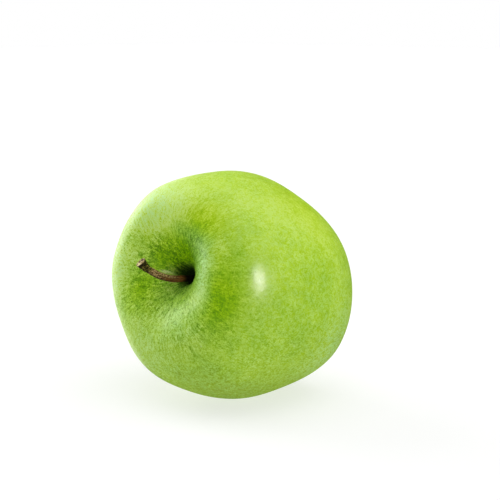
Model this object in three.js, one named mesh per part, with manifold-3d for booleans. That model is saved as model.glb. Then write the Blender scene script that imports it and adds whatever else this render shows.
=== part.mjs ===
// A green apple lying on its side, millimetres, +Z up.
// The origin is the middle of the small flat spot the fruit rests on.
// The stem end points towards -Y and is raised a little above level.
import * as THREE from 'three';
import { mergeVertices } from 'three/addons/utils/BufferGeometryUtils.js';
import Module from 'manifold-3d';

const wasm = await Module();
wasm.setup();

// ---------------------------------------------------------------- dimensions
const TILT = 15.6;              // degrees the stem axis rises above level
const REST = [-0.14, -5.95, 39.25]; // where the fruit's own origin sits above the rest spot
const SEGMENTS = 48;            // around the fruit
const MEAN_RADIUS = 39;         // half the girth, the scale of the unevenness below

// Half of the fruit's outline as B-spline handles [radius, height along the stem axis],
// from the bottom of the calyx cup, over the lobes, up the side, over the shoulder
// and down the stem cavity to its floor.
const OUTLINE = [
  [0, -26.4], [1.4, -26.5], [2.1, -27.6], [2.5, -29.3], [3.6, -30.5], [5.6, -32.2],
  [8.7, -35.7], [13.7, -39.06], [20.65, -39.66], [28.23, -35.39], [34.46, -26.42],
  [38.47, -13.75], [38.73, -0.16], [36.46, 12.43], [31.32, 21.01], [24.36, 25.34],
  [17.46, 25.41], [12.46, 23.04], [9.47, 20.52], [7.2, 18.3], [5.2, 16.6],
  [3.8, 15.2], [3.1, 13.7], [2.8, 12.0], [2.5, 10.3], [1.7, 9.2], [0, 9.0],
];
// rings per handle span: the long outer spans get more
const OUTER_FROM = 6, OUTER_TO = 17, RINGS_OUTER = 3, RINGS_INNER = 2;

// Unevenness round the stem axis: share of the radius, and the angle of its crest (radians)
const LEAN = { e: 0.0088, at: -0.963 };
const OVAL = { e: 0.0201, at: -0.2468 };
const THREE_SIDED = { e: 0.006, at: 0.1159 };
const FIVE_LOBES = { e: 0.004, low: 0.014, at: 0.2, topRise: 0.35, lowRise: 0.6 };
// Shoulder and base not quite square to the axis, millimetres at the rim
const SHOULDER = { h: 0.7555, at: 1.9908, h2: 0.3, at2: 0.5 };
const BASE = { h: 0.2127, at: 2.2504 };
// Low waves round a slanting axis, percent: [waves, cosine, sine]
const SLANT = [
  [0.73135, 0.15342, -0.66452],
  [-0.1418, 0.98728, 0.07188],
  [0.6671, 0.04166, 0.74381],
];
const WAVES = [
  [2, 0.086, -0.545], [3, 0.412, 0.303], [4, 0.052, -1.109],
  [5, -0.433, -0.061], [6, -0.565, 0.209], [7, -1.112, 0.33],
];

// Stem: centreline in the fruit's axes, then radius along it
const STEM_PATH = [
  [0, 0, 9.45], [-0.2, -0.5, 13], [-0.49, -1.06, 16.6], [-0.59, -1.49, 19.9],
  [-0.84, -1.69, 23.3], [-1.16, -1.65, 26.7], [-1.6, -0.91, 29.6], [-2.1, 0.12, 31.8],
  [-2.46, 0.84, 33.8], [-2.58, 1.4, 34.8],
];
const STEM_RADII = [[0, 1.12], [0.08, 1.05], [0.35, 1.02], [0.6, 1.1], [0.8, 1.2], [0.9, 1.32], [1, 1.62]];

// Sepals: five dried leaves round the calyx cup, centreline [radius, height], width and thickness
const SEPAL_LINE = [[3.15, -31.0], [2.95, -32.5], [2.85, -34.0], [3.3, -35.4], [4.5, -36.4], [5.8, -36.5]];
const SEPAL_WIDTH = [[0, 2.7], [0.25, 2.9], [0.5, 2.4], [0.75, 1.5], [1, 0.4]];
const SEPAL_THICK = 0.45;
const SEPAL_TURNS = [4, 74, 149, 218, 291]; // degrees round the stem axis

const STAMENS = 9;

// ---------------------------------------------------------------- helpers
const step = (a, b, x) => {
  const t = Math.min(Math.max((x - a) / (b - a), 0), 1);
  return t * t * (3 - 2 * t);
};
const table = (rows, x) => {
  for (let i = 1; i < rows.length; i++) {
    if (x <= rows[i][0]) {
      const [a, p] = rows[i - 1], [b, q] = rows[i];
      return p + (q - p) * (x - a) / (b - a);
    }
  }
  return rows[rows.length - 1][1];
};

// uniform cubic B-spline from the first handle to the last
class Outline extends THREE.Curve {
  constructor(handles) {
    super();
    const n = handles.length;
    const mirror = (a, b) => [2 * a[0] - b[0], 2 * a[1] - b[1]];
    this.h = [mirror(handles[0], handles[1]), ...handles, mirror(handles[n - 1], handles[n - 2])];
    this.spans = n - 1;
  }
  at(s) {
    const i = Math.min(Math.floor(s), this.spans - 1), u = s - i;
    const w = [(1 - u) ** 3 / 6, (3 * u ** 3 - 6 * u * u + 4) / 6, (-3 * u ** 3 + 3 * u * u + 3 * u + 1) / 6, u ** 3 / 6];
    let x = 0, y = 0;
    for (let k = 0; k < 4; k++) { x += w[k] * this.h[i + k][0]; y += w[k] * this.h[i + k][1]; }
    return new THREE.Vector2(Math.max(x, 0), y);
  }
  getPoint(t) { return this.at(t * this.spans); }
}

// radius, height and turn of a perfectly round fruit -> the uneven fruit, in its own axes
function uneven(r, w, phi, out) {
  const k = r / MEAN_RADIUS;
  const side = step(0.15, 0.75, k), low = step(5, -30, w), top = step(5, 28, w);
  const five = Math.cos(5 * (phi - FIVE_LOBES.at));
  const f = side * (LEAN.e * Math.cos(phi - LEAN.at) + OVAL.e * Math.cos(2 * (phi - OVAL.at))
    + THREE_SIDED.e * Math.cos(3 * (phi - THREE_SIDED.at)))
    + five * (FIVE_LOBES.e * side + FIVE_LOBES.low * low * step(0.1, 0.5, k));
  const rr = r * (1 + f);
  const ww = w + k * (top * (SHOULDER.h * Math.cos(phi - SHOULDER.at) + SHOULDER.h2 * Math.cos(2 * (phi - SHOULDER.at2)))
    + low * BASE.h * Math.cos(phi - BASE.at))
    + five * (FIVE_LOBES.topRise * top - FIVE_LOBES.lowRise * low) * step(0.08, 0.35, k) * (1 - step(0.55, 0.95, k));
  const p = [rr * Math.cos(phi), rr * Math.sin(phi), ww];
  const c = SLANT.map((row) => row[0] * p[0] + row[1] * p[1] + row[2] * p[2]);
  const q = Math.hypot(c[0], c[1]), n = Math.hypot(q, c[2]);
  const fade = step(0.35, 0.95, q / Math.max(n, 1e-9)) * step(12, 30, n);
  const turn = Math.atan2(c[1], c[0]);
  let g = 0;
  for (const [waves, a, b] of WAVES) g += a * Math.cos(waves * turn) + b * Math.sin(waves * turn);
  g = 1 + g * fade / 100;
  return out.set(
    c[0] * g * SLANT[0][0] + c[1] * g * SLANT[1][0] + c[2] * SLANT[2][0],
    c[0] * g * SLANT[0][1] + c[1] * g * SLANT[1][1] + c[2] * SLANT[2][1],
    c[0] * g * SLANT[0][2] + c[1] * g * SLANT[1][2] + c[2] * SLANT[2][2]);
}

// merged vertices, no collapsed triangles, faces outwards
function closed(geometry) {
  geometry.deleteAttribute('normal');
  geometry.deleteAttribute('uv');
  geometry.clearGroups();
  const g = mergeVertices(geometry, 1e-4);
  const p = g.attributes.position, index = Array.from(g.index.array), keep = [];
  let volume = 0;
  const a = new THREE.Vector3(), b = new THREE.Vector3(), c = new THREE.Vector3();
  for (let i = 0; i < index.length; i += 3) {
    const [i0, i1, i2] = index.slice(i, i + 3);
    if (i0 === i1 || i1 === i2 || i2 === i0) continue;
    keep.push(i0, i1, i2);
    a.fromBufferAttribute(p, i0); b.fromBufferAttribute(p, i1); c.fromBufferAttribute(p, i2);
    volume += a.dot(b.cross(c));
  }
  if (volume < 0) for (let i = 0; i < keep.length; i += 3) [keep[i], keep[i + 1]] = [keep[i + 1], keep[i]];
  g.setIndex(keep);
  return g;
}
function solid(geometry) {
  const g = closed(geometry);
  return new wasm.Manifold(new wasm.Mesh({
    numProp: 3,
    vertProperties: Float32Array.from(g.attributes.position.array),
    triVerts: Uint32Array.from(g.index.array),
  }));
}
function geometryOf(manifold) {
  const m = manifold.getMesh();
  const g = new THREE.BufferGeometry();
  g.setAttribute('position', new THREE.BufferAttribute(Float32Array.from(m.vertProperties), 3));
  g.setIndex(Array.from(m.triVerts));
  return g;
}
function piece(name, geometry, color, roughness) {
  if (!geometry.attributes.normal) geometry.computeVertexNormals();
  const mesh = new THREE.Mesh(geometry, new THREE.MeshStandardMaterial({ color, roughness, metalness: 0 }));
  mesh.name = name;
  return mesh;
}

// ---------------------------------------------------------------- the fruit
const fruit = new THREE.Group();
fruit.rotation.x = THREE.MathUtils.degToRad(90 - TILT);
fruit.position.set(...REST);
fruit.updateMatrixWorld(true);

function appleBody() {
  const outline = new Outline(OUTLINE), rings = [];
  for (let i = 0; i < outline.spans; i++) {
    const n = i >= OUTER_FROM && i < OUTER_TO ? RINGS_OUTER : RINGS_INNER;
    for (let j = 0; j < n; j++) rings.push(outline.at(i + j / n));
  }
  rings.push(outline.at(outline.spans));
  rings[0].x = 0;
  rings[rings.length - 1].x = 0;
  const g = new THREE.LatheGeometry(rings, SEGMENTS);
  const p = g.attributes.position, v = new THREE.Vector3(), out = new THREE.Vector3();
  for (let i = 0; i < p.count; i++) {
    v.fromBufferAttribute(p, i);
    const r = Math.hypot(v.x, v.z);
    uneven(r < 1e-6 ? 0 : r, v.y, Math.atan2(v.x, v.z), out);
    p.setXYZ(i, out.x, out.y, out.z);
  }
  // the rest spot: everything below the plane z = 0 of the part is taken off
  const below = new THREE.BoxGeometry(60, 60, 20);
  below.translate(0, 0, -10);
  below.applyMatrix4(fruit.matrixWorld.clone().invert());
  return geometryOf(solid(g).subtract(solid(below)));
}

function stem() {
  const path = new THREE.CatmullRomCurve3(STEM_PATH.map((q) => new THREE.Vector3(...q)), false, 'centripetal');
  const N = 22, profile = [new THREE.Vector2(0, 0)];
  for (let i = 0; i <= N; i++) profile.push(new THREE.Vector2(table(STEM_RADII, i / N), i / N));
  profile.push(new THREE.Vector2(0, 1));
  const g = new THREE.LatheGeometry(profile, 12);
  const p = g.attributes.position, v = new THREE.Vector3();
  const x = new THREE.Vector3(), y = new THREE.Vector3();
  for (let i = 0; i < p.count; i++) {
    v.fromBufferAttribute(p, i);
    const t = Math.min(Math.max(v.y, 0), 1);
    const along = path.getTangentAt(t), c = path.getPointAt(t);
    y.set(0, 1, 0).cross(along).normalize();
    x.crossVectors(along, y).normalize();
    c.addScaledVector(x, v.x).addScaledVector(y, v.z);
    // the broken end is cut on the slant
    if (t > 0.999) c.addScaledVector(along, 0.45 * (v.x - 0.6 * v.z));
    p.setXYZ(i, c.x, c.y, c.z);
  }
  return closed(g);
}

function sepal(turn, bend) {
  const line = new THREE.CatmullRomCurve3(SEPAL_LINE.map(([r, w], i) => new THREE.Vector3(r + bend * i * i * 0.05, 0, w + bend * i * 0.12)), false, 'centripetal');
  const g = new THREE.BoxGeometry(1, 1, 1, 10, 4, 1);
  const p = g.attributes.position, normal = new THREE.Vector3();
  for (let i = 0; i < p.count; i++) {
    const u = p.getX(i) + 0.5, across = p.getY(i), side = p.getZ(i);
    const c = line.getPointAt(u), along = line.getTangentAt(u);
    normal.set(-along.z, 0, along.x);           // towards the stem axis side
    const width = table(SEPAL_WIDTH, u);
    const cup = 0.22 * width * (4 * across * across - 0.35); // edges curl inwards
    c.addScaledVector(normal, side * SEPAL_THICK * (1 - 0.35 * u) + cup * (1 - 0.5 * u));
    c.y += across * width;
    p.setXYZ(i, c.x, c.y, c.z);
  }
  g.rotateZ(THREE.MathUtils.degToRad(turn));
  return closed(g);
}

function stamens() {
  const base = new THREE.LatheGeometry([[0, 0], [0.95, 0], [1.1, 0.5], [0.8, 1.1], [0, 1.2]].map((q) => new THREE.Vector2(...q)), 10);
  base.rotateX(-Math.PI / 2);
  base.translate(0, 0, -26.85);
  let all = solid(base);
  for (let i = 0; i < STAMENS; i++) {
    const a = i * 2 * Math.PI / STAMENS + 0.4 * Math.sin(3 * i), lean = 0.12 + 0.06 * Math.sin(5 * i), length = 5.2 + 0.7 * Math.cos(4 * i);
    const f = new THREE.LatheGeometry([[0, 0], [0.2, 0], [0.15, length * 0.8], [0.27, length * 0.88], [0.22, length * 0.97], [0, length]].map((q) => new THREE.Vector2(...q)), 6);
    f.rotateX(-Math.PI / 2);
    f.rotateY(lean);
    f.translate(0.5, 0, -27.4);
    f.rotateZ(a);
    all = all.add(solid(f));
  }
  return geometryOf(all);
}

fruit.add(piece('apple_body', appleBody(), 0x8fbf3c, 0.42));
fruit.add(piece('stem', stem(), 0x7a5a3c, 0.85));
SEPAL_TURNS.forEach((turn, i) => fruit.add(piece(`sepal_${i + 1}`, sepal(turn, [0, 0.6, -0.4, 0.3, -0.7][i]), 0x6f6a45, 0.9)));
fruit.add(piece('dried_stamens', stamens(), 0x4a3a26, 0.95));

const apple = new THREE.Group();
apple.name = 'green_apple';
apple.add(fruit);

export default apple;
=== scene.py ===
"""A green apple lying on its side: looks, floor, light and camera. Everything is in metres, in the part's own frame."""
import math

import bpy
import numpy as np
from mathutils import Matrix, Vector


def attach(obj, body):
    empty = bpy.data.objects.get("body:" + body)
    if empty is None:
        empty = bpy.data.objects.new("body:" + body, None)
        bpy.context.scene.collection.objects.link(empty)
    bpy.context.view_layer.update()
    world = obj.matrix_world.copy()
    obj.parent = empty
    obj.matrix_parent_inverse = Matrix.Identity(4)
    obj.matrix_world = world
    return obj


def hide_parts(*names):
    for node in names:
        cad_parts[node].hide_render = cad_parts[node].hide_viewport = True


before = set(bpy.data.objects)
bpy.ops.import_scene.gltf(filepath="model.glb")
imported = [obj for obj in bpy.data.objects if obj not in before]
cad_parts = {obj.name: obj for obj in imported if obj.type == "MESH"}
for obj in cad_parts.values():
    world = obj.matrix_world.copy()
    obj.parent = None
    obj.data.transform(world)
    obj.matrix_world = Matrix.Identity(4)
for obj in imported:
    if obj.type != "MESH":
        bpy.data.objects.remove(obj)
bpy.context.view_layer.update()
scene = bpy.context.scene
MM = 0.001

# ------------------------------------------------------------------ the fruit's shape (as in the CAD source)
TILT = 15.6
REST = np.array([-0.14, -5.95, 39.25])
MEAN_RADIUS = 39.0
OUTLINE = np.array([
    [0, -26.4], [1.4, -26.5], [2.1, -27.6], [2.5, -29.3], [3.6, -30.5], [5.6, -32.2],
    [8.7, -35.7], [13.7, -39.06], [20.65, -39.66], [28.23, -35.39], [34.46, -26.42],
    [38.47, -13.75], [38.73, -0.16], [36.46, 12.43], [31.32, 21.01], [24.36, 25.34],
    [17.46, 25.41], [12.46, 23.04], [9.47, 20.52], [7.2, 18.3], [5.2, 16.6],
    [3.8, 15.2], [3.1, 13.7], [2.8, 12.0], [2.5, 10.3], [1.7, 9.2], [0, 9.0]])
LEAN = (0.0088, -0.963)
OVAL = (0.0201, -0.2468)
THREE_SIDED = (0.006, 0.1159)
LOBES = dict(e=0.004, low=0.014, at=0.2, top_rise=0.35, low_rise=0.6)
SHOULDER = dict(h=0.7555, at=1.9908, h2=0.3, at2=0.5)
BASE = (0.2127, 2.2504)
SLANT = np.array([[0.73135, 0.15342, -0.66452], [-0.1418, 0.98728, 0.07188], [0.6671, 0.04166, 0.74381]])
WAVES = [(2, 0.086, -0.545), (3, 0.412, 0.303), (4, 0.052, -1.109), (5, -0.433, -0.061), (6, -0.565, 0.209), (7, -1.112, 0.33)]
STEM_PATH = np.array([
    [0, 0, 9.2], [-0.2, -0.45, 13], [-0.49, -0.97, 16.6], [-0.59, -1.58, 19.9],
    [-0.84, -1.70, 23.3], [-1.16, -1.42, 26.7], [-1.6, -0.70, 29.6], [-2.1, 0.12, 31.8],
    [-2.50, 1.10, 33.8], [-2.64, 1.80, 34.85]])


def step(a, b, x):
    t = np.clip((x - a) / (b - a), 0, 1)
    return t * t * (3 - 2 * t)


def outline_at(s):
    """Points (radius, height) of the half outline at spline parameters s, 0 to the number of spans."""
    h = np.vstack([2 * OUTLINE[0] - OUTLINE[1], OUTLINE, 2 * OUTLINE[-1] - OUTLINE[-2]])
    i = np.minimum(s.astype(int), len(OUTLINE) - 2)
    u = (s - i)[:, None]
    p = ((1 - u) ** 3 * h[i] + (3 * u ** 3 - 6 * u * u + 4) * h[i + 1]
         + (-3 * u ** 3 + 3 * u * u + 3 * u + 1) * h[i + 2] + u ** 3 * h[i + 3]) / 6
    p[:, 0] = np.maximum(p[:, 0], 0)
    return p


def uneven(r, w, phi):
    k = r / MEAN_RADIUS
    side, low, top = step(0.15, 0.75, k), step(5, -30, w), step(5, 28, w)
    five = np.cos(5 * (phi - LOBES["at"]))
    f = side * (LEAN[0] * np.cos(phi - LEAN[1]) + OVAL[0] * np.cos(2 * (phi - OVAL[1]))
                + THREE_SIDED[0] * np.cos(3 * (phi - THREE_SIDED[1])))
    f = f + five * (LOBES["e"] * side + LOBES["low"] * low * step(0.1, 0.5, k))
    ww = w + k * (top * (SHOULDER["h"] * np.cos(phi - SHOULDER["at"]) + SHOULDER["h2"] * np.cos(2 * (phi - SHOULDER["at2"])))
                  + low * BASE[0] * np.cos(phi - BASE[1]))
    ww = ww + five * (LOBES["top_rise"] * top - LOBES["low_rise"] * low) * step(0.08, 0.35, k) * (1 - step(0.55, 0.95, k))
    rr = r * (1 + f)
    p = np.stack([rr * np.cos(phi), rr * np.sin(phi), ww + 0 * phi], -1)
    c = p @ SLANT.T
    q = np.hypot(c[..., 0], c[..., 1])
    n = np.hypot(q, c[..., 2])
    fade = step(0.35, 0.95, q / np.maximum(n, 1e-9)) * step(12, 30, n)
    turn = np.arctan2(c[..., 1], c[..., 0])
    g = sum(a * np.cos(m * turn) + b * np.sin(m * turn) for m, a, b in WAVES)
    c[..., :2] *= (1 + g * fade / 100)[..., None]
    return c @ SLANT


T = math.radians(TILT)
TURN = np.array([[1, 0, 0], [0, math.sin(T), -math.cos(T)], [0, math.cos(T), math.sin(T)]])  # fruit axes -> part axes


def placed(p):
    """Fruit axes in mm -> the part's frame in metres."""
    return (np.asarray(p, float) @ TURN.T + REST) * MM


def mesh_object(name, verts, faces, smooth=True):
    me = bpy.data.meshes.new(name)
    me.from_pydata([tuple(v) for v in verts], [], [tuple(int(i) for i in f) for f in faces])
    me.validate()
    me.update()
    if smooth:
        me.polygons.foreach_set("use_smooth", np.ones(len(me.polygons), bool))
    ob = bpy.data.objects.new(name, me)
    scene.collection.objects.link(ob)
    return ob


def attribute(ob, name, values):
    values = np.asarray(values, np.float32)
    kind = "FLOAT_VECTOR" if values.ndim == 2 else "FLOAT"
    a = ob.data.attributes.new(name, kind, "POINT")
    a.data.foreach_set("vector" if values.ndim == 2 else "value", values.ravel())


def grid_faces(rows, cols, closed=True, flip=False):
    i, j = np.meshgrid(np.arange(rows - 1), np.arange(cols if closed else cols - 1), indexing="ij")
    k = (j + 1) % cols
    f = np.stack([i * cols + j, i * cols + k, (i + 1) * cols + k, (i + 1) * cols + j], -1).reshape(-1, 4)
    return f[:, ::-1] if flip else f


def smooth_noise(seed, count, lowest, highest):
    """Random waves for a closed direction: list of (frequency, amplitude, phase)."""
    rng = np.random.default_rng(seed)
    return [(int(rng.integers(lowest, highest)), rng.uniform(0.5, 1.0), rng.uniform(0, 2 * math.pi)) for _ in range(count)]


def wave_sum(waves, x):
    return sum(a * np.cos(f * x + p) for f, a, p in waves) / math.sqrt(len(waves))


# ------------------------------------------------------------------ body mesh
def even_spacing(count, fine):
    """Spline parameters spread evenly along the outline, with fine(arc) as the relative density."""
    s = np.linspace(0, len(OUTLINE) - 1, 6001)
    p = outline_at(s)
    arc = np.r_[0, np.cumsum(np.hypot(*np.diff(p, axis=0).T))]
    weight = np.r_[0, np.cumsum(np.diff(arc) * fine((arc[1:] + arc[:-1]) / 2, arc[-1]))]
    want = np.linspace(0, weight[-1], count)
    return np.interp(want, weight, s), np.interp(want, weight, arc), arc[-1]


RINGS, AROUND = 330, 296


def body():
    s, arc, length = even_spacing(RINGS, lambda a, n: 1.0 + 1.2 * (a < 22) + 1.0 * (a > n - 30))
    prof = outline_at(s)
    prof[0, 0] = prof[-1, 0] = 0
    phi = np.linspace(0, 2 * math.pi, AROUND, endpoint=False)
    r, w, ph = prof[:, :1], prof[:, 1:], phi[None, :]
    # fine folds of the skin: down the stem cavity and round the calyx
    into = length - arc[:, None]          # mm from the cavity's floor
    cavity = step(2, 7, into) * (1 - step(12, 24, into))
    folds = 0.10 * wave_sum(smooth_noise(3, 9, 7, 30), ph + 0.02 * into) * cavity
    folds = folds + 0.035 * wave_sum(smooth_noise(5, 9, 30, 70), ph + 0.012 * into) * cavity
    basin = step(3.5, 7, arc[:, None]) * (1 - step(12, 22, arc[:, None]))
    folds = folds + (0.30 * np.cos(5 * (ph - 0.55)) + 0.20 * wave_sum(smooth_noise(8, 7, 8, 24), ph)) * basin
    p = uneven(r, w, ph)
    # normals of the smooth shape, for the shallow dents
    du = np.gradient(p, axis=0)
    dv = np.roll(p, -1, 1) - np.roll(p, 1, 1)
    nrm = np.cross(dv, du)
    nrm /= np.maximum(np.linalg.norm(nrm, axis=-1, keepdims=True), 1e-9)
    if ((p - p.mean((0, 1))) * nrm).sum() < 0:
        nrm = -nrm
    nrm[0] = (0, 0, -1)
    nrm[-1] = (0, 0, 1)
    rng = np.random.default_rng(11)
    dent = np.zeros(p.shape[:2])
    for _ in range(46):
        d = rng.normal(size=3)
        k = rng.uniform(0.12, 0.5)
        dent += np.cos((p @ (d / np.linalg.norm(d))) * k + rng.uniform(0, 6.28)) * 0.022 / (k + 0.15) ** 0.5
    dent *= step(3, 14, r) * 0.55
    p = p + nrm * (folds + dent)[..., None]
    p[0] = p[0].mean(0)
    p[-1] = p[-1].mean(0)
    # the lip of the stem hollow stands a little proud on one side
    lip = step(-0.3, 0.5, np.cos(ph + 0.35)) * (1 - step(8, 15, r)) * step(0, 1, w / 10)
    p = p + np.array([-0.6, 0.55, 0.5]) * lip[..., None]
    q = placed(p)
    q[..., 2] = np.maximum(q[..., 2], 0.0)      # the flat rest spot
    inner = q[1:-1].reshape(-1, 3)
    verts = np.vstack([inner, q[0, :1], q[-1, :1]])
    n = len(inner)
    faces = [tuple(f) for f in grid_faces(RINGS - 2, AROUND)]
    last = (RINGS - 3) * AROUND
    for j in range(AROUND):
        k = (j + 1) % AROUND
        faces.append((n, k, j))
        faces.append((n + 1, last + j, last + k))
    ob = mesh_object("apple_skin", verts, faces)
    # which way the faces point
    me = ob.data
    centre = Vector(placed([0, 0, 0]))
    if sum((Vector(f.center) - centre).dot(f.normal) * f.area for f in me.polygons) < 0:
        me.flip_normals()

    def per_vertex(a):
        return np.concatenate([a[1:-1].reshape(-1), a[0, :1], a[-1, :1]])

    R = np.broadcast_to(r, p.shape[:2])
    A = np.broadcast_to(arc[:, None], p.shape[:2])
    P = np.broadcast_to(ph, p.shape[:2])
    co = np.stack([per_vertex(p[..., i]) for i in range(3)], -1)
    attribute(ob, "fruit_co", co)
    arc_v, ang, rad = per_vertex(A), per_vertex(P), per_vertex(R)
    attribute(ob, "flow", np.stack([np.cos(ang), np.sin(ang), arc_v], -1))
    attribute(ob, "girth", rad)
    attribute(ob, "from_stem", length - arc_v)
    attribute(ob, "from_calyx", arc_v)
    # the bake's own map: once round the fruit by the way along the outline
    uv = me.uv_layers.new(name="OFBake")
    loops = np.empty(len(me.loops), int)
    me.loops.foreach_get("vertex_index", loops)
    loop_start = np.empty(len(me.polygons), int)
    me.polygons.foreach_get("loop_start", loop_start)
    total = np.empty(len(me.polygons), int)
    me.polygons.foreach_get("loop_total", total)
    u = ang[loops] / (2 * math.pi)
    v = arc_v[loops] / length
    owner = np.repeat(np.arange(len(total)), total)
    order = np.argsort(np.repeat(loop_start, total) + np.concatenate([np.arange(t) for t in total]), kind="stable")
    owner = owner[order]
    pole = loops >= n
    high = np.zeros(len(total))
    np.maximum.at(high, owner[~pole], u[~pole])
    wrap = (high[owner] > 0.9) & (u < 0.1) & ~pole
    u = np.where(wrap, u + 1, u)
    mid_sum = np.bincount(owner[~pole], u[~pole], minlength=len(total))
    mid_n = np.bincount(owner[~pole], minlength=len(total))
    u = np.where(pole, (mid_sum / np.maximum(mid_n, 1))[owner], u)
    uv.data.foreach_set("uv", np.stack([0.002 + 0.996 * u, 0.002 + 0.996 * v], -1).astype(np.float32).ravel())
    return ob


# ------------------------------------------------------------------ node helpers
class Graph:
    def __init__(self, name):
        self.mat = bpy.data.materials.new(name)
        self.mat.use_nodes = True
        self.nt = self.mat.node_tree
        self.nt.nodes.clear()
        self.out = self.nt.nodes.new("ShaderNodeOutputMaterial")
        self.bsdf = self.nt.nodes.new("ShaderNodeBsdfPrincipled")
        self.nt.links.new(self.bsdf.outputs[0], self.out.inputs["Surface"])

    def put(self, socket, value):
        if isinstance(value, bpy.types.NodeSocket):
            self.nt.links.new(value, socket)
        elif isinstance(value, (tuple, list)) and len(value) == 3 and socket.type == "RGBA":
            socket.default_value = (*value, 1)
        else:
            socket.default_value = value

    def attr(self, name, output="Fac"):
        n = self.nt.nodes.new("ShaderNodeAttribute")
        n.attribute_name = name
        return n.outputs[output]

    def math(self, op, a, b=0.0, clamp=False):
        n = self.nt.nodes.new("ShaderNodeMath")
        n.operation = op
        n.use_clamp = clamp
        self.put(n.inputs[0], a)
        self.put(n.inputs[1], b)
        return n.outputs[0]

    def vmath(self, op, a, b):
        n = self.nt.nodes.new("ShaderNodeVectorMath")
        n.operation = op
        self.put(n.inputs[0], a)
        if op == "SCALE":
            self.put(n.inputs["Scale"], b)
        elif op != "LENGTH":
            self.put(n.inputs[1], b)
        return n.outputs["Value" if op in ("DOT_PRODUCT", "LENGTH") else "Vector"]

    def noise(self, co, scale, detail=2.0, rough=0.5, distortion=0.0):
        n = self.nt.nodes.new("ShaderNodeTexNoise")
        self.put(n.inputs["Vector"], co)
        n.inputs["Scale"].default_value = scale
        n.inputs["Detail"].default_value = detail
        n.inputs["Roughness"].default_value = rough
        n.inputs["Distortion"].default_value = distortion
        return n.outputs["Fac"]

    def noise_colour(self, co, scale):
        n = self.nt.nodes.new("ShaderNodeTexNoise")
        self.put(n.inputs["Vector"], co)
        n.inputs["Scale"].default_value = scale
        return n.outputs["Color"]

    def voronoi(self, co, scale, output="Distance", randomness=1.0):
        n = self.nt.nodes.new("ShaderNodeTexVoronoi")
        self.put(n.inputs["Vector"], co)
        n.inputs["Scale"].default_value = scale
        n.inputs["Randomness"].default_value = randomness
        return n.outputs[output]

    def span(self, x, a, b, lo=0.0, hi=1.0, smooth=True):
        n = self.nt.nodes.new("ShaderNodeMapRange")
        n.interpolation_type = "SMOOTHSTEP" if smooth else "LINEAR"
        self.put(n.inputs["Value"], x)
        for key, value in (("From Min", a), ("From Max", b), ("To Min", lo), ("To Max", hi)):
            n.inputs[key].default_value = value
        return n.outputs["Result"]

    def mix(self, f, a, b, kind="MIX"):
        n = self.nt.nodes.new("ShaderNodeMix")
        n.data_type = "RGBA"
        n.blend_type = kind
        self.put(n.inputs[0], f)
        self.put(n.inputs[6], a)
        self.put(n.inputs[7], b)
        return n.outputs[2]

    def blend(self, f, a, b):
        n = self.nt.nodes.new("ShaderNodeMix")
        n.data_type = "FLOAT"
        self.put(n.inputs[0], f)
        self.put(n.inputs[2], a)
        self.put(n.inputs[3], b)
        return n.outputs[0]

    def bump(self, height, distance, strength=1.0, normal=None):
        n = self.nt.nodes.new("ShaderNodeBump")
        n.inputs["Strength"].default_value = strength
        n.inputs["Distance"].default_value = distance
        self.put(n.inputs["Height"], height)
        if normal is not None:
            self.put(n.inputs["Normal"], normal)
        return n.outputs["Normal"]

    def set(self, **values):
        for key, value in values.items():
            self.put(self.bsdf.inputs[key.replace("_", " ")], value)


def srgb(r, g, b):
    return tuple((c / 255 / 12.92) if c / 255 <= 0.04045 else ((c / 255 + 0.055) / 1.055) ** 2.4 for c in (r, g, b))


# ------------------------------------------------------------------ skin
def spot(g, co, centre, radii, inner=0.0):
    """1 in the middle of a soft-edged oval patch, 0 outside it."""
    d = g.vmath("SUBTRACT", co, centre)
    d = g.vmath("MULTIPLY", d, tuple(1.0 / r for r in radii))
    return g.span(g.vmath("LENGTH", d, (0, 0, 0)), 1.0, inner)


def total(g, parts):
    out = parts[0]
    for p in parts[1:]:
        out = g.math("ADD", out, p)
    return out


# broad parts of the skin that are paler (+) or deeper green (-) than the rest, some of them painted light and painted
# shade: centre and radii in mm along the fruit's axes, then by how much
TONES_AND_PAINTED_LIGHT = [
    ((-12, 21, 25), (22, 16, 14), 1.0),      # the shoulder above the hollow, paler, partly painted light
    ((-24, -2, 22), (14, 20, 14), 0.4),      # the hollow's left lip, paler, partly painted light
    ((0, 5, 18), (26, 20, 16), -0.7),        # the hollow's walls, deeper green as painted shade
    ((-14, -4, 24), (9, 12, 8), -0.4),       # its left wall, behind the stem's end, deeper green as painted shade
    ((8, 13, 24), (14, 12, 12), -0.4),       # its upper right wall, deeper green as painted shade
    ((24, -4, 24), (12, 20, 13), -0.3),      # a belt beyond its right lip
    ((14, -34, 8), (20, 20, 30), -0.6),      # the underside in front, deeper green as painted shade
    ((-8, -24, 23), (24, 14, 14), 0.3),      # the lower left flank
    ((28, 24, 0), (20, 20, 30), 0.3),        # the upper right cheek
    ((37, -12, -20), (20, 26, 20), 0.2),     # the lower right cheek
    ((-36, -6, 6), (26, 34, 26), -0.2)]      # the far side
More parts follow.
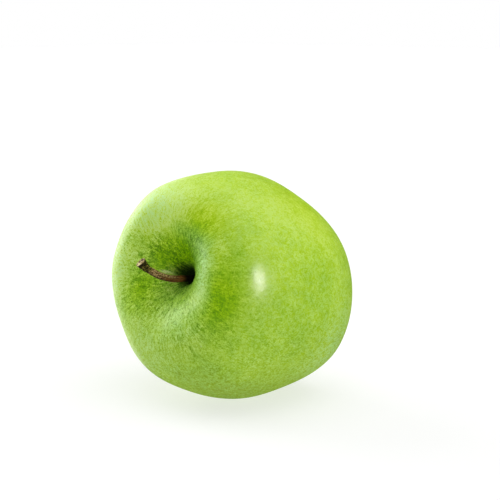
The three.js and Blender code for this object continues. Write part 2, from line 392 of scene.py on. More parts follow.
# where it carries more waxy bloom (+) or less (-); round the hollow's lips and on the shoulder above it part of this is
# a painted sheen
BLOOM_AND_PAINTED_SHEEN = [
    ((-14, 21, 25), (22, 17, 17), 0.7),      # the shoulder above the hollow, partly painted sheen
    ((-24, -2, 24), (12, 22, 12), 0.5),      # the hollow's left lip, partly painted sheen
    ((15, 1, 25), (8, 15, 10), 0.7),         # its right lip: a painted reflection of a cool light
    ((8, -15, 25), (14, 9, 10), 0.4),        # its lower lip: a painted reflection of a cool light
    ((-4, 8, 20), (16, 16, 12), -0.5),       # its walls
    ((-11, -6, 24), (11, 12, 9), -0.3),      # its left wall, behind the stem's end
    ((12, 19, 25), (13, 9, 14), -0.4),       # its upper right wall
    ((25, -5, 24), (12, 20, 13), -0.4),      # the belt beyond its right lip
    ((-6, -26, 22), (22, 18, 16), 0.4),      # the lower left flank
    ((34, -15, -22), (24, 24, 18), 0.5),     # the lower right cheek
    ((22, 28, -8), (26, 26, 20), -0.3),      # the upper right cheek
    ((-33, -4, 10), (24, 36, 28), 0.3),      # the far side
    ((-24, 22, 8), (24, 24, 26), 0.2)]       # the far shoulder


def skin():
    g = Graph("skin_of_fruit")
    co = g.attr("fruit_co", "Vector")
    flow = g.attr("flow", "Vector")
    girth = g.attr("girth")
    stem_way = g.attr("from_stem")
    calyx_way = g.attr("from_calyx")
    # broad unevenness of ripening and waxy bloom, placed where it lies on this fruit, with painted light and shade in
    # it: paler towards the top, deeper green down the stem hollow and on the underside, and a painted sheen round the
    # hollow's lips
    wide = g.noise(co, 0.05, 2.0, 0.5)
    patch = g.noise(co, 0.17, 4.0, 0.6, 0.8)
    mottle = g.noise(co, 0.55, 2.0, 0.55, 0.5)
    upward = g.vmath("DOT_PRODUCT", co, (0.0, 0.0246, 0.0069))
    drift = g.vmath("ADD", co, g.vmath("SCALE", g.vmath("SUBTRACT", g.noise_colour(co, 0.11), (0.5, 0.5, 0.5)), 5.0))
    tones_and_painted_light = total(g, [g.math("MULTIPLY", spot(g, drift, at, radii), amount) for at, radii, amount in TONES_AND_PAINTED_LIGHT])
    bloom_and_sheen = total(g, [g.math("MULTIPLY", spot(g, drift, at, radii), amount) for at, radii, amount in BLOOM_AND_PAINTED_SHEEN])
    bloom_and_sheen = g.math("MINIMUM", g.math("ADD", bloom_and_sheen, 0.32), 1.0)
    # fine grain: curly flecks on the sides, short strokes running down into the hollows at both ends
    curl = g.span(g.noise(co, 0.95, 2.0, 0.6, 0.9), 0.41, 0.59)
    speck = g.span(g.noise(co, 1.7, 1.0, 0.5, 0.4), 0.40, 0.60)
    strokes = []
    for k, along in ((9.0, 0.50), (18.0, 0.50), (36.0, 0.50)):
        strokes.append(g.span(g.noise(g.vmath("MULTIPLY", flow, (k, k, along)), 1.0, 2.0, 0.6, 0.5), 0.40, 0.60))
    stroke = g.blend(g.span(girth, 6.0, 11.0), strokes[0], strokes[1])
    stroke = g.blend(g.span(girth, 13.0, 22.0), stroke, strokes[2])
    around_stem = g.math("SUBTRACT", 1.0, g.span(stem_way, 26, 58))
    around_calyx = g.math("SUBTRACT", 1.0, g.span(calyx_way, 16, 40))
    lined = g.math("MAXIMUM", around_stem, around_calyx)
    grain = g.blend(g.math("MULTIPLY", lined, 0.75), curl, stroke)
    grain = g.blend(0.30, grain, speck)
    dust = g.span(g.noise(co, 3.0, 1.0, 0.5), 0.36, 0.64)
    grain = g.math("ADD", g.math("MULTIPLY", g.math("SUBTRACT", grain, 0.5), 0.88), g.math("MULTIPLY", g.math("SUBTRACT", dust, 0.5), 0.42))
    near_stem = g.math("SUBTRACT", 1.0, g.span(stem_way, 20, 46))
    amount = g.span(g.noise(co, 0.20, 3.0, 0.6), 0.36, 0.62, 0.46, 0.84)
    amount = g.math("ADD", amount, g.math("MULTIPLY", near_stem, 0.58))
    quiet = g.vmath("DOT_PRODUCT", co, (0.0165, 0.0175, -0.0056))
    amount = g.math("MULTIPLY", amount, g.span(quiet, -0.15, 0.62, 1.02, 0.46, False))
    # calmer on the shoulder above the hollow and on the far side
    calm = spot(g, co, (-11.0, 20.0, 26.0), (20.0, 14.0, 16.0))
    calm = g.math("MAXIMUM", calm, g.math("MULTIPLY", spot(g, co, (-36.0, -8.0, -6.0), (38.0, 46.0, 40.0), 0.3), 0.8))
    amount = g.math("MULTIPLY", amount, g.math("SUBTRACT", 1.0, g.math("MULTIPLY", calm, 0.5)))
    # the upward term makes the skin paler towards the top: painted light
    f = total(g, [
        g.math("MULTIPLY", g.math("SUBTRACT", wide, 0.5), 0.45),
        g.math("MULTIPLY", g.math("SUBTRACT", patch, 0.5), 0.75),
        g.math("MULTIPLY", g.math("SUBTRACT", mottle, 0.5), 0.30),
        g.math("MULTIPLY", upward, 0.27),
        g.math("ADD", tones_and_painted_light, 0.590)])
    # the palest skin still shows its grain
    f = g.math("ADD", g.math("MINIMUM", f, 0.99), g.math("MULTIPLY", grain, amount))
    ramp = g.nt.nodes.new("ShaderNodeValToRGB")
    g.put(ramp.inputs[0], g.math("MULTIPLY", g.math("ADD", f, 0.6), 1 / 1.9))
    stops = [(-0.6, (0.085, 0.200, 0.001)), (-0.25, (0.125, 0.310, 0.001)), (0.0, (0.175, 0.420, 0.001)), (0.25, (0.265, 0.540, 0.001)),
             (0.5, (0.385, 0.650, 0.003)), (0.75, (0.490, 0.745, 0.020)), (1.0, (0.620, 0.850, 0.080)), (1.3, (0.730, 0.930, 0.170))]
    el = ramp.color_ramp.elements
    while len(el) < len(stops):
        el.new(0.5)
    for e, (at, c) in zip(el, stops):
        e.position = (at + 0.6) / 1.9
        e.color = (*c, 1)
    colour = ramp.outputs[0]
    # darker and yellower towards the bottom: painted shade
    colour = g.mix(g.span(upward, -0.05, -0.95, 0.0, 0.60), colour, (0.42, 0.54, 0.02))
    # cool waxy bloom, partly a painted sheen and reflection
    colour = g.mix(g.math("MULTIPLY", g.math("ADD", 0.50, g.math("MULTIPLY", grain, 1.1)), bloom_and_sheen), colour, (0.53, 0.86, 0.335))
    # pale breathing pores, each with a soft halo
    place = g.vmath("ADD", co, g.vmath("SCALE", g.noise_colour(co, 0.35), 1.6))
    pore = g.math("DIVIDE", g.voronoi(place, 0.23), g.span(g.noise(co, 0.12, 1.0), 0.35, 0.65, 0.55, 1.0))
    halo = g.math("SUBTRACT", 1.0, g.span(pore, 0.04, 0.17))
    dot = g.math("SUBTRACT", 1.0, g.span(pore, 0.035, 0.08))
    side = g.span(girth, 12, 26)
    colour = g.mix(g.math("MULTIPLY", g.math("MULTIPLY", halo, 0.22), side), colour, (0.56, 0.78, 0.16))
    colour = g.mix(g.math("MULTIPLY", g.math("MULTIPLY", dot, 0.45), side), colour, (0.72, 0.84, 0.42))
    # painted shade: the floor of the stem hollow is darkened to near black, further up one side; the calyx rim goes
    # brown
    lively = g.math("MULTIPLY", g.math("SUBTRACT", strokes[0], 0.5), 0.8)
    shaded = g.math("MULTIPLY", spot(g, co, (-4.0, 1.0, 15.8), (6.5, 6.5, 6.5)), 3.6)
    hollow_floor_shade = g.math("SUBTRACT", 1.0, g.span(g.math("SUBTRACT", g.math("ADD", stem_way, lively), shaded), 3.8, 10.8))
    colour = g.mix(g.math("MULTIPLY", hollow_floor_shade, 0.93), colour, (0.012, 0.030, 0.002))
    # thin russet on the hollow's wall beside the stem, with one pale rub
    russet = g.math("MULTIPLY", spot(g, co, (-6.0, -1.6, 18.0), (5.0, 6.0, 3.6)), g.span(strokes[0], 0.25, 0.9, 0.05, 0.55))
    colour = g.mix(russet, colour, (0.36, 0.34, 0.14))
    rub = g.math("MULTIPLY", spot(g, co, (-7.3, 0.1, 18.6), (3.4, 0.8, 3.2)), g.span(speck, 0.1, 0.8, 0.45, 0.95))
    colour = g.mix(rub, colour, (0.72, 0.80, 0.36))
    rust = g.math("SUBTRACT", 1.0, g.span(g.math("ADD", calyx_way, lively), 5.5, 11.0))
    colour = g.mix(g.math("MULTIPLY", rust, 0.75), colour, srgb(104, 92, 38))
    g.set(Base_Color=colour)
    g.set(Roughness=g.span(g.noise(co, 0.9, 3.0, 0.6), 0.3, 0.7, 0.46, 0.58, False))
    g.bsdf.inputs["IOR"].default_value = 1.45
    g.bsdf.inputs["Specular IOR Level"].default_value = 0.05
    # the wax's gloss: none down in the hollow, and broken up by the skin's fine relief
    wax = g.math("MULTIPLY", g.span(stem_way, 10.0, 24.0, 0.0, 0.22), g.span(g.noise(co, 1.9, 1.0, 0.5), 0.36, 0.64, 0.62, 1.38))
    g.set(Coat_Weight=wax)
    g.bsdf.inputs["Coat Roughness"].default_value = 0.27
    g.bsdf.inputs["Subsurface Weight"].default_value = 0.10
    g.bsdf.inputs["Subsurface Radius"].default_value = (0.7, 1.0, 0.2)
    g.bsdf.inputs["Subsurface Scale"].default_value = 0.0012
    height = total(g, [g.math("MULTIPLY", grain, 0.9), g.math("MULTIPLY", g.noise(co, 2.2, 2.0, 0.6), 1.0), g.math("MULTIPLY", dot, 0.3)])
    normal = g.bump(height, 0.00006, 0.6)
    g.set(Normal=normal, Coat_Normal=g.bump(g.noise(co, 1.5, 2.0, 0.55), 0.0001, 0.28))
    return g.mat


# ------------------------------------------------------------------ stem
def spline(points, count):
    """Smooth curve through the points (centripetal Catmull-Rom), even spacing; returns positions and tangents."""
    P = np.asarray(points, float)
    P = np.vstack([2 * P[0] - P[1], P, 2 * P[-1] - P[-2]])
    out = []
    for i in range(1, len(P) - 2):
        p0, p1, p2, p3 = P[i - 1:i + 3]
        t = [0.0]
        for a, b in ((p0, p1), (p1, p2), (p2, p3)):
            t.append(t[-1] + max(np.linalg.norm(b - a), 1e-6) ** 0.5)
        for x in np.linspace(t[1], t[2], 40, endpoint=False):
            a1 = (t[1] - x) / (t[1] - t[0]) * p0 + (x - t[0]) / (t[1] - t[0]) * p1
            a2 = (t[2] - x) / (t[2] - t[1]) * p1 + (x - t[1]) / (t[2] - t[1]) * p2
            a3 = (t[3] - x) / (t[3] - t[2]) * p2 + (x - t[2]) / (t[3] - t[2]) * p3
            b1 = (t[2] - x) / (t[2] - t[0]) * a1 + (x - t[0]) / (t[2] - t[0]) * a2
            b2 = (t[3] - x) / (t[3] - t[1]) * a2 + (x - t[1]) / (t[3] - t[1]) * a3
            out.append((t[2] - x) / (t[2] - t[1]) * b1 + (x - t[1]) / (t[2] - t[1]) * b2)
    out.append(P[-2])
    out = np.array(out)
    d = np.r_[0, np.cumsum(np.linalg.norm(np.diff(out, axis=0), axis=1))]
    want = np.linspace(0, d[-1], count)
    c = np.stack([np.interp(want, d, out[:, i]) for i in range(3)], -1)
    tg = np.gradient(c, axis=0)
    return c, tg / np.linalg.norm(tg, axis=1, keepdims=True), d[-1]


TIP_NORMAL = np.array([-0.237, 0.557, 0.796])   # which way the broken end faces, fruit axes


def stem():
    N, M = 190, 72
    c, tg, length = spline(STEM_PATH, N)
    y = np.cross([0, 1, 0], tg)
    y /= np.linalg.norm(y, axis=1, keepdims=True)
    x = np.cross(tg, y)
    t = np.linspace(0, 1, N)[:, None]
    a = np.linspace(0, 2 * math.pi, M, endpoint=False)[None, :]
    r = np.interp(t, [0, 0.04, 0.12, 0.25, 0.40, 0.54, 0.67, 0.78, 0.86, 0.92, 0.96, 1.0], [1.75, 1.30, 1.05, 1.02, 1.05, 1.08, 1.12, 1.15, 1.14, 1.30, 1.58, 1.70])
    twist = a + 0.9 * t
    ridges = 0.055 * wave_sum(smooth_noise(21, 7, 4, 12), twist) + 0.030 * wave_sum(smooth_noise(22, 7, 12, 26), twist + 0.3 * np.sin(9 * t))
    rng = np.random.default_rng(5)
    lumps = np.zeros((N, M))
    for _ in range(34):
        at, way, big = rng.uniform(0.02, 1), rng.uniform(0, 6.28), rng.uniform(0.02, 0.05)
        d = np.angle(np.exp(1j * (a - way)))
        lumps += rng.uniform(-0.075, 0.11) * np.exp(-((t - at) / big) ** 2 - (d / 0.75) ** 2)
    rings = 0.03 * np.cos(2 * math.pi * t * 19 + 1.5 * np.sin(a)) * step(0.55, 0.95, t)
    rr = r + ridges + lumps + rings
    # knuckle behind the broken end, and its ragged lip
    rr = rr + 0.14 * np.exp(-((t - 0.90) / 0.018) ** 2) * (0.5 + 0.5 * np.cos(a - 2.0))
    rr = rr + 0.10 * step(0.95, 1.0, t) * wave_sum(smooth_noise(31, 5, 3, 11), a)
    p = c[:, None, :] + rr[..., None] * (np.cos(a)[..., None] * x[:, None, :] + np.sin(a)[..., None] * y[:, None, :])
    # slide the last rings along the stem so that the end lies in the break's plane
    n = TIP_NORMAL / np.linalg.norm(TIP_NORMAL)
    slope = -((p - c[:, None, :]) @ n) / (tg @ n)[:, None]
    p = p + (slope * step(0.80, 1.0, t))[..., None] * tg[:, None, :]
    rim = 0.10 * wave_sum(smooth_noise(33, 6, 2, 12), a) * step(0.94, 1.0, t)
    p = p + rim[..., None] * tg[:, None, :]
    verts, cut = [p.reshape(-1, 3)], [np.zeros(N * M)]
    kind = [np.broadcast_to(t, (N, M)).reshape(-1)]
    # the broken face: rounded edge, then a dished and pitted end
    K = 16
    mid = p[-1].mean(0)
    edge = p[-1] - mid
    end = []
    for i in range(1, K + 1):
        f = 1 - i / K
        q = mid + edge * f
        sink = -0.30 * (1 - f ** 3) * (1 - 0.25 * np.cos(2 * a[0])) if i < K else -0.33
        rough = 0.07 * wave_sum(smooth_noise(40 + i // 3, 5, 2, 9), a[0]) * (f > 0.02) * (f < 0.98)
        q = q + (np.asarray(sink + rough + 0 * a[0]))[:, None] * n
        end.append(q)
    end[0] = mid + edge * (1 - 0.5 / K) + 0.04 * n
    verts.append(np.array(end[:-1]).reshape(-1, 3))
    cut.append(np.ones((K - 1) * M))
    kind.append(np.ones((K - 1) * M))
    verts.append(end[-1].mean(0)[None])
    verts.append((c[0] - 0.25 * tg[0])[None])
    cut.append(np.array([1.0, 0.0]))
    kind.append(np.array([1.0, 0.0]))
    V = np.vstack(verts)
    rows = N + K - 1
    faces = [tuple(f) for f in grid_faces(rows, M)]
    top, bottom = rows * M, rows * M + 1
    for j in range(M):
        k = (j + 1) % M
        faces.append(((rows - 1) * M + j, (rows - 1) * M + k, top))
        faces.append((k, j, bottom))
    ob = mesh_object("stem_bark", placed(V), faces)
    if sum(Vector(f.center).dot(f.normal) * f.area for f in ob.data.polygons) < 0:
        ob.data.flip_normals()
    A = np.concatenate([np.broadcast_to(a, (N, M)).reshape(-1), np.broadcast_to(a, (K - 1, M)).reshape(-1), [0, 0]])
    along = np.concatenate(kind)
    attribute(ob, "cut", np.concatenate(cut))
    attribute(ob, "along", along)
    axis = np.concatenate([np.repeat(c, M, 0), np.repeat(p[-1].mean(0)[None], (K - 1) * M, 0), p[-1].mean(0)[None], c[:1]])
    away = (V - axis) / np.maximum(np.linalg.norm(V - axis, axis=1, keepdims=True), 1e-6)
    attribute(ob, "under", away @ np.array([0.1467, -0.9818, -0.1211]))
    attribute(ob, "grain_co", np.stack([np.cos(A) * 3, np.sin(A) * 3, along * length], -1))
    attribute(ob, "fruit_co", V)
    return ob


def bark():
    g = Graph("bark_of_stem")
    co = g.attr("fruit_co", "Vector")
    gr = g.attr("grain_co", "Vector")
    along = g.attr("along")
    cut = g.attr("cut")
    under = g.attr("under")
    fibre = g.noise(g.vmath("MULTIPLY", gr, (1.5, 1.5, 0.42)), 1.0, 4.0, 0.65)
    blotch = g.noise(g.vmath("MULTIPLY", gr, (0.62, 0.62, 0.62)), 1.0, 3.0, 0.6)
    fine = g.noise(co, 2.6, 3.0, 0.65)
    grit = g.noise(co, 2.3, 2.0, 0.6)
    sway = g.math("MULTIPLY", g.math("SUBTRACT", blotch, 0.5), 0.35)
    zone = g.math("ADD", along, sway)
    red = g.mix(g.span(fibre, 0.40, 0.60), (0.085, 0.026, 0.007), (0.270, 0.100, 0.028))
    tan = g.mix(g.span(g.math("ADD", g.math("MULTIPLY", fibre, 0.35), g.math("MULTIPLY", grit, 0.65)), 0.44, 0.57), (0.085, 0.042, 0.010), (0.60, 0.410, 0.180))
    # painted light: pale tan on the stem's upper side and red-brown below, partly the bark's own two colours
    upper = g.span(g.math("ADD", under, g.math("MULTIPLY", sway, 1.2)), 0.30, -0.35)
    colour = g.mix(g.math("MULTIPLY", g.span(zone, 0.38, 0.60), g.blend(g.span(zone, 0.58, 0.72), upper, 0.85)), red, tan)
    # towards the broken end the bark is darker, olive, with pale ribs and scabs
    olive = g.mix(g.span(grit, 0.50, 0.59), (0.022, 0.018, 0.001), (0.32, 0.265, 0.050))
    colour = g.mix(g.span(zone, 0.80, 0.88), colour, olive)
    # scattered dark pits, then painted shade: a darker underside, and the root darkened to near black down in the
    # hollow
    pit = g.math("SUBTRACT", 1.0, g.span(g.noise(co, 1.5, 2.0, 0.6), 0.38, 0.45))
    colour = g.mix(g.math("MULTIPLY", g.math("MULTIPLY", pit, g.span(along, 0.46, 0.64)), 0.85), colour, (0.014, 0.006, 0.002))
    low = g.math("MULTIPLY", g.span(g.math("ADD", under, g.math("MULTIPLY", sway, 0.8)), 0.45, 1.0), g.span(along, 0.45, 0.75, 0.35, 0.85))
    colour = g.mix(low, colour, (0.018, 0.009, 0.002))
    root = g.math("SUBTRACT", 1.0, g.span(along, 0.26, 0.36))
    colour = g.mix(g.math("MULTIPLY", root, 0.97), colour, (0.004, 0.004, 0.001))
    ring = g.math("MULTIPLY", g.span(g.math("ADD", along, g.math("MULTIPLY", sway, 0.1)), 0.945, 0.975), g.math("SUBTRACT", 1.0, g.span(along, 0.992, 0.9999)))
    colour = g.mix(g.math("MULTIPLY", ring, 0.85), colour, (0.010, 0.005, 0.002))
    pith = g.mix(g.span(g.noise(co, 1.6, 2.0, 0.6), 0.42, 0.54), (0.36, 0.22, 0.08), (0.92, 0.80, 0.42))
    pith = g.mix(g.math("MULTIPLY", g.math("SUBTRACT", 1.0, g.span(g.noise(co, 1.0, 2.0), 0.38, 0.44)), 0.85), pith, (0.035, 0.012, 0.006))
    colour = g.mix(cut, colour, pith)
    g.set(Base_Color=colour)
    g.set(Roughness=g.span(fine, 0.3, 0.7, 0.60, 0.90, False))
    g.bsdf.inputs["Specular IOR Level"].default_value = 0.10
    height = g.math("ADD", g.math("MULTIPLY", fibre, 0.8), g.math("MULTIPLY", fine, 0.5))
    g.set(Normal=g.bump(height, 0.00030, 0.9))
    return g.mat


# ------------------------------------------------------------------ calyx: sepals and stamens
SEPAL_LINE = np.array([[3.15, -30.5], [2.95, -32.3], [2.85, -34.0], [3.3, -35.4], [4.5, -36.4], [5.8, -36.5]])
SEPAL_TURNS = [4, 74, 149, 218, 291]
SEPAL_BENDS = [0, 0.6, -0.4, 0.3, -0.7]


def sepal(number, turn, bend):
    L, W = 54, 25
    line = np.array([[r + bend * i * i * 0.05, 0, w + bend * i * 0.12] for i, (r, w) in enumerate(SEPAL_LINE)])
    c, tg, length = spline(line, L)
    nrm = np.stack([-tg[:, 2], 0 * tg[:, 0], tg[:, 0]], -1)
    t = np.linspace(0, 1, L)
    width = np.interp(t, [0, 0.25, 0.5, 0.75, 0.93, 1], [2.8, 3.0, 2.5, 1.6, 0.75, 0.22])
    v = np.linspace(-0.5, 0.5, W)
    rng = np.random.default_rng(100 + number)
    ph = rng.uniform(0, 6.28, 6)
    side_sway = 0.35 * np.sin(2.2 * t + ph[0]) * t
    cup = 0.20 * width[:, None] * (4 * v[None, :] ** 2 - 0.35)
    crinkle = (0.10 * np.sin(9 * t[:, None] + 5 * v[None, :] + ph[1]) + 0.07 * np.sin(17 * t[:, None] - 9 * v[None, :] + ph[2])
               + 0.05 * np.cos(v[None, :] * 22 + ph[3]))
    crinkle = crinkle * (0.4 + 1.2 * np.abs(v[None, :]) * 2) * step(0, 0.2, t)[:, None]
    ragged = 1 + 0.08 * np.sin(31 * t + ph[4]) + 0.05 * np.sin(53 * t + ph[5])
    mid = (c[:, None, :] + nrm[:, None, :] * (cup * (1 - 0.5 * t[:, None]) + crinkle)[..., None])
    mid[..., 1] += v[None, :] * (width * ragged)[:, None] + side_sway[:, None]
    thick = 0.20 * (1 - 0.55 * t[:, None]) * (1 - (2 * v[None, :]) ** 4 * 0.75) + 0.03 * np.cos(v[None, :] * 12.6)
    up = mid + nrm[:, None, :] * thick[..., None]
    down = mid - nrm[:, None, :] * thick[..., None]
    # one closed loop of points round each cross-section
    loop = np.concatenate([up, down[:, ::-1]], 1)
    m = loop.shape[1]
    V = np.vstack([loop.reshape(-1, 3), loop[0].mean(0)[None], loop[-1].mean(0)[None]])
    faces = [tuple(f) for f in grid_faces(L, m)]
    n = L * m
    for j in range(m):
        k = (j + 1) % m
        faces.append((k, j, n))
        faces.append(((L - 1) * m + j, (L - 1) * m + k, n + 1))
    a = math.radians(turn)
    spin = np.array([[math.cos(a), -math.sin(a), 0], [math.sin(a), math.cos(a), 0], [0, 0, 1]])
    V = V @ spin.T
    ob = mesh_object(f"sepal_leaf_{number}", placed(V), faces)
    centre = Vector(placed(V.mean(0)))
    bm_sum = sum((Vector(f.center) - centre).dot(f.normal) * f.area for f in ob.data.polygons)
    if bm_sum < 0:
        ob.data.flip_normals()
    T_ = np.repeat(t, m)
    V_ = np.tile(np.concatenate([v, v[::-1]]), L)
    attribute(ob, "along", np.r_[T_, 0, 1])
    attribute(ob, "across", np.r_[V_, 0, 0])
    attribute(ob, "fruit_co", V)
    return ob


def dry_leaf():
    g = Graph("leaf_of_calyx")
    co = g.attr("fruit_co", "Vector")
    along, across = g.attr("along"), g.attr("across")
    lines = g.nt.nodes.new("ShaderNodeCombineXYZ")
    g.put(lines.inputs[0], g.math("MULTIPLY", across, 14.0))
    g.put(lines.inputs[1], g.math("MULTIPLY", along, 2.6))
    vein = g.noise(lines.outputs[0], 1.0, 4.0, 0.6)
    fine = g.noise(co, 4.5, 4.0, 0.65)
    green = g.mix(g.span(vein, 0.38, 0.62), srgb(84, 92, 40), srgb(142, 146, 84))
    brown = g.mix(g.span(fine, 0.38, 0.62), srgb(58, 38, 20), srgb(132, 98, 60))
    colour = g.mix(g.span(g.math("ADD", along, g.math("MULTIPLY", g.math("SUBTRACT", fine, 0.5), 0.9)), 0.15, 0.75), green, brown)
    # downy pale bloom
    colour = g.mix(g.math("MULTIPLY", g.span(g.noise(co, 7.0, 2.0), 0.5, 0.68), 0.45), colour, srgb(196, 190, 158))
    g.set(Base_Color=colour, Roughness=0.85)
    g.bsdf.inputs["Specular IOR Level"].default_value = 0.25
    g.bsdf.inputs["Sheen Weight"].default_value = 0.35
    g.bsdf.inputs["Sheen Roughness"].default_value = 0.5
    height = g.math("ADD", g.math("MULTIPLY", vein, 0.7), g.math("MULTIPLY", fine, 0.4))
    g.set(Normal=g.bump(height, 0.0002, 0.9))
    return g.mat


def stamens():
    """A dried tuft: many thin filaments with shrivelled heads, rooted in one small pad."""
    rng = np.random.default_rng(77)
    V, F, A, base = [], [], [], 0

    def tube(path, radii, sides, wobble):
        nonlocal base
        c, tg, _ = spline(path, len(radii))
        y = np.cross([0.31, 0.95, 0.02], tg)
        y /= np.linalg.norm(y, axis=1, keepdims=True)
        x = np.cross(tg, y)
        a = np.linspace(0, 2 * math.pi, sides, endpoint=False)
        rr = np.asarray(radii)[:, None] * (1 + wobble * np.sin(3 * a[None, :] + np.arange(len(radii))[:, None] * 0.9))
        p = c[:, None] + rr[..., None] * (np.cos(a)[None, :, None] * x[:, None] + np.sin(a)[None, :, None] * y[:, None])
        V.append(np.vstack([p.reshape(-1, 3), c[0][None] - 0.02 * tg[0], c[-1][None] + 0.6 * radii[-1] * tg[-1]]))
        n, rows = len(radii) * sides, len(radii)
        for f in grid_faces(rows, sides):
            F.append(tuple(int(i) + base for i in f))
        for j in range(sides):
            k = (j + 1) % sides
            F.append((base + k, base + j, base + n))
            F.append((base + (rows - 1) * sides + j, base + (rows - 1) * sides + k, base + n + 1))
        A.append(np.r_[np.repeat(np.linspace(0, 1, rows), sides), 0, 1])
        base += n + 2

    tube([[0, 0, -26.5], [0, 0, -27.0], [0, 0, -27.6], [0, 0, -28.1]], [0.9, 1.35, 1.5, 1.45, 1.3, 0.95, 0.5], 24, 0.05)
    for i in range(17):
        a = i * 2.39996 + rng.uniform(-0.2, 0.2)
        r0 = 0.25 + 0.75 * math.sqrt((i + 0.5) / 17)
        r1 = r0 * rng.uniform(1.0, 1.45) + rng.uniform(-0.1, 0.2)
        top = -27.6 - rng.uniform(4.4, 6.3)
        turn = a + rng.uniform(-0.5, 0.5)
        bend = rng.uniform(-0.35, 0.35)
        path = [[r0 * math.cos(a), r0 * math.sin(a), -27.4],
                [(r0 * 0.8 + r1 * 0.2) * math.cos(a) + bend * 0.4, (r0 * 0.8 + r1 * 0.2) * math.sin(a), (-27.4 * 2 + top) / 3],
                [(r0 + r1) / 2 * math.cos((a + turn) / 2), (r0 + r1) / 2 * math.sin((a + turn) / 2) + bend * 0.5, (-27.4 + 2 * top) / 3],
                [r1 * math.cos(turn), r1 * math.sin(turn), top]]
        if i % 4 == 3:   # styles without a head
            radii = list(np.linspace(0.13, 0.07, 18))
        else:
            radii = list(np.r_[np.linspace(0.11, 0.08, 14), [0.13, 0.24, 0.28, 0.25, 0.17, 0.08]])
        tube(path, radii, 8, 0.14)
    P = np.vstack(V)
    ob = mesh_object("stamen_tuft", placed(P), F)
    attribute(ob, "along", np.concatenate(A))
    attribute(ob, "fruit_co", P)
    return ob


def dry_stamen():
    g = Graph("tuft_of_calyx")
    co = g.attr("fruit_co", "Vector")
    along = g.attr("along")
    fine = g.noise(co, 4.0, 4.0, 0.65)
    colour = g.mix(g.span(fine, 0.36, 0.64), srgb(44, 28, 16), srgb(118, 84, 50))
    colour = g.mix(g.math("MULTIPLY", g.span(along, 0.72, 0.95), 0.75), colour, srgb(30, 20, 14))
    g.set(Base_Color=colour, Roughness=0.9)
    g.bsdf.inputs["Specular IOR Level"].default_value = 0.25
    g.set(Normal=g.bump(fine, 0.00015, 0.8))
    return g.mat


def dress(ob, mat, node):
    ob.data.materials.append(mat)
    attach(ob, "root")
    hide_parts(node)


dress(body(), skin(), "apple_body")
dress(stem(), bark(), "stem")
leaf = dry_leaf()
for i in range(5):
    dress(sepal(i + 1, SEPAL_TURNS[i], SEPAL_BENDS[i]), leaf, f"sepal_{i + 1}")
dress(stamens(), dry_stamen(), "dried_stamens")

# ------------------------------------------------------------------ floor, light, camera
AZ, EL = math.radians(44.88), math.radians(12.0)
RIGHT = Vector((math.cos(AZ), math.sin(AZ), 0))
BACK = Vector((math.sin(AZ) * math.cos(EL), -math.cos(AZ) * math.cos(EL), math.sin(EL)))
UP = BACK.cross(RIGHT)
HEART = Vector(REST * MM)


def floor():
    me = bpy.data.meshes.new("floor")
    s, z = 4.0, -0.0001
    me.from_pydata([(-s, -s, z), (s, -s, z), (s, s, z), (-s, s, z)], [], [(0, 1, 2, 3)])
    ob = bpy.data.objects.new("floor", me)
    scene.collection.objects.link(ob)
    g = Graph("studio_floor")
    g.set(Base_Color=(0.36, 0.36, 0.36), Roughness=0.9)
    g.bsdf.inputs["Emission Color"].default_value = (1, 1, 1, 1)
    g.bsdf.inputs["Emission Strength"].default_value = 0.67
    g.bsdf.inputs["Specular IOR Level"].default_value = 0.1
    me.materials.append(g.mat)
    ob.visible_glossy = False


def soft_lamp(name, way, width, strength, glossy=True, diffuse=True):
    """A large soft source far off in the direction given, width degrees across."""
    light = bpy.data.lights.new(name, "SUN")
    light.angle = math.radians(width)
    light.energy = strength
    ob = bpy.data.objects.new(name, light)
    ob.location = HEART + Vector(way).normalized() * 2.0
    ob.rotation_mode = "QUATERNION"
    ob.rotation_quaternion = (-Vector(way)).to_track_quat("-Z", "Y")
    ob.visible_glossy = glossy
    ob.visible_diffuse = diffuse
    scene.collection.objects.link(ob)


def window(name, at, way, distance, size, spread, power, colour):
    """A small soft box close to the fruit, its beam narrow and aimed at one point of the skin (mm, the part's frame)."""
    light = bpy.data.lights.new(name, "AREA")
    light.shape = "RECTANGLE"
    light.size, light.size_y = size
    light.spread = math.radians(spread)
    light.energy = power
    light.color = colour
    ob = bpy.data.objects.new(name, light)
    ob.location = Vector(at) * MM + Vector(way).normalized() * distance
    ob.rotation_mode = "QUATERNION"
    ob.rotation_quaternion = (-Vector(way)).to_track_quat("-Z", "Y")
    ob.visible_camera = False
    ob.visible_diffuse = False
    scene.collection.objects.link(ob)


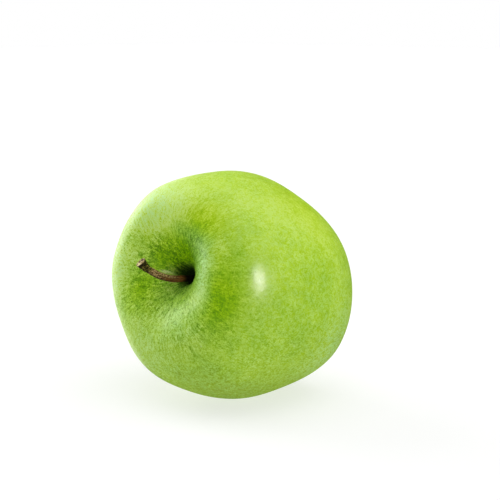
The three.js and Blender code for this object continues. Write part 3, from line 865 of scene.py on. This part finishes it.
floor()
for name, way, width, strength in (
        ("overhead", (0.15, -0.05, 1.0), 60, 0.90),
        ("overhead_front", (0.45, -0.35, 0.80), 50, 0.51),
        ("overhead_left", (-0.35, 0.35, 0.87), 50, 0.30),
        ("overhead_right", (0.35, 0.45, 0.82), 50, 0.60),
        ("overhead_near", (-0.50, -0.30, 0.80), 50, 0.27),
        ("left_low", (-0.95, 0.0, 0.15), 40, 0.90),
        ("left_high", (-0.85, -0.10, 0.50), 45, 0.95),
        ("right_high", (0.64, 0.40, 0.65), 50, 0.42)):
    soft_lamp(name, way, width, strength, name in ("overhead", "left_low", "left_high"))
soft_lamp("sheen_behind", (-0.978, 0.194, -0.020), 60, 1.75, diffuse=False)     # only seen as a pale sheen on the rim
window("window", (31.8, -21.2, 46.3), (0.9009, -0.3451, 0.2634), 0.09, (0.0180, 0.0360), 28.0, 0.0074, (1.0, 0.88, 1.0))
world = bpy.data.worlds.new("studio")
scene.world = world
world.use_nodes = True
nt = world.node_tree
nt.nodes.clear()
out = nt.nodes.new("ShaderNodeOutputWorld")
fill = nt.nodes.new("ShaderNodeBackground")
fill.inputs[0].default_value = (1, 1, 1, 1)
fill.inputs[1].default_value = 0.03
seen = nt.nodes.new("ShaderNodeBackground")
seen.inputs[0].default_value = (1, 1, 1, 1)
seen.inputs[1].default_value = 1.0
path = nt.nodes.new("ShaderNodeLightPath")
mixed = nt.nodes.new("ShaderNodeMixShader")
nt.links.new(path.outputs["Is Camera Ray"], mixed.inputs[0])
nt.links.new(fill.outputs[0], mixed.inputs[1])
nt.links.new(seen.outputs[0], mixed.inputs[2])
nt.links.new(mixed.outputs[0], out.inputs[0])

camera = bpy.data.cameras.new("camera")
camera.sensor_width = 36.0
camera.lens = 1254.3 / 500 * 36.0
cam = bpy.data.objects.new("camera", camera)
cam.location = HEART + BACK * 0.42
look = (-BACK + RIGHT * ((250 - 220.43) / 1254.3) + UP * ((281.8 - 250) / 1254.3)).normalized()
cam.rotation_mode = "QUATERNION"
cam.rotation_quaternion = look.to_track_quat("-Z", "Y")
scene.collection.objects.link(cam)
scene.camera = cam
scene.view_settings.view_transform = "Standard"
scene.view_settings.look = "None"
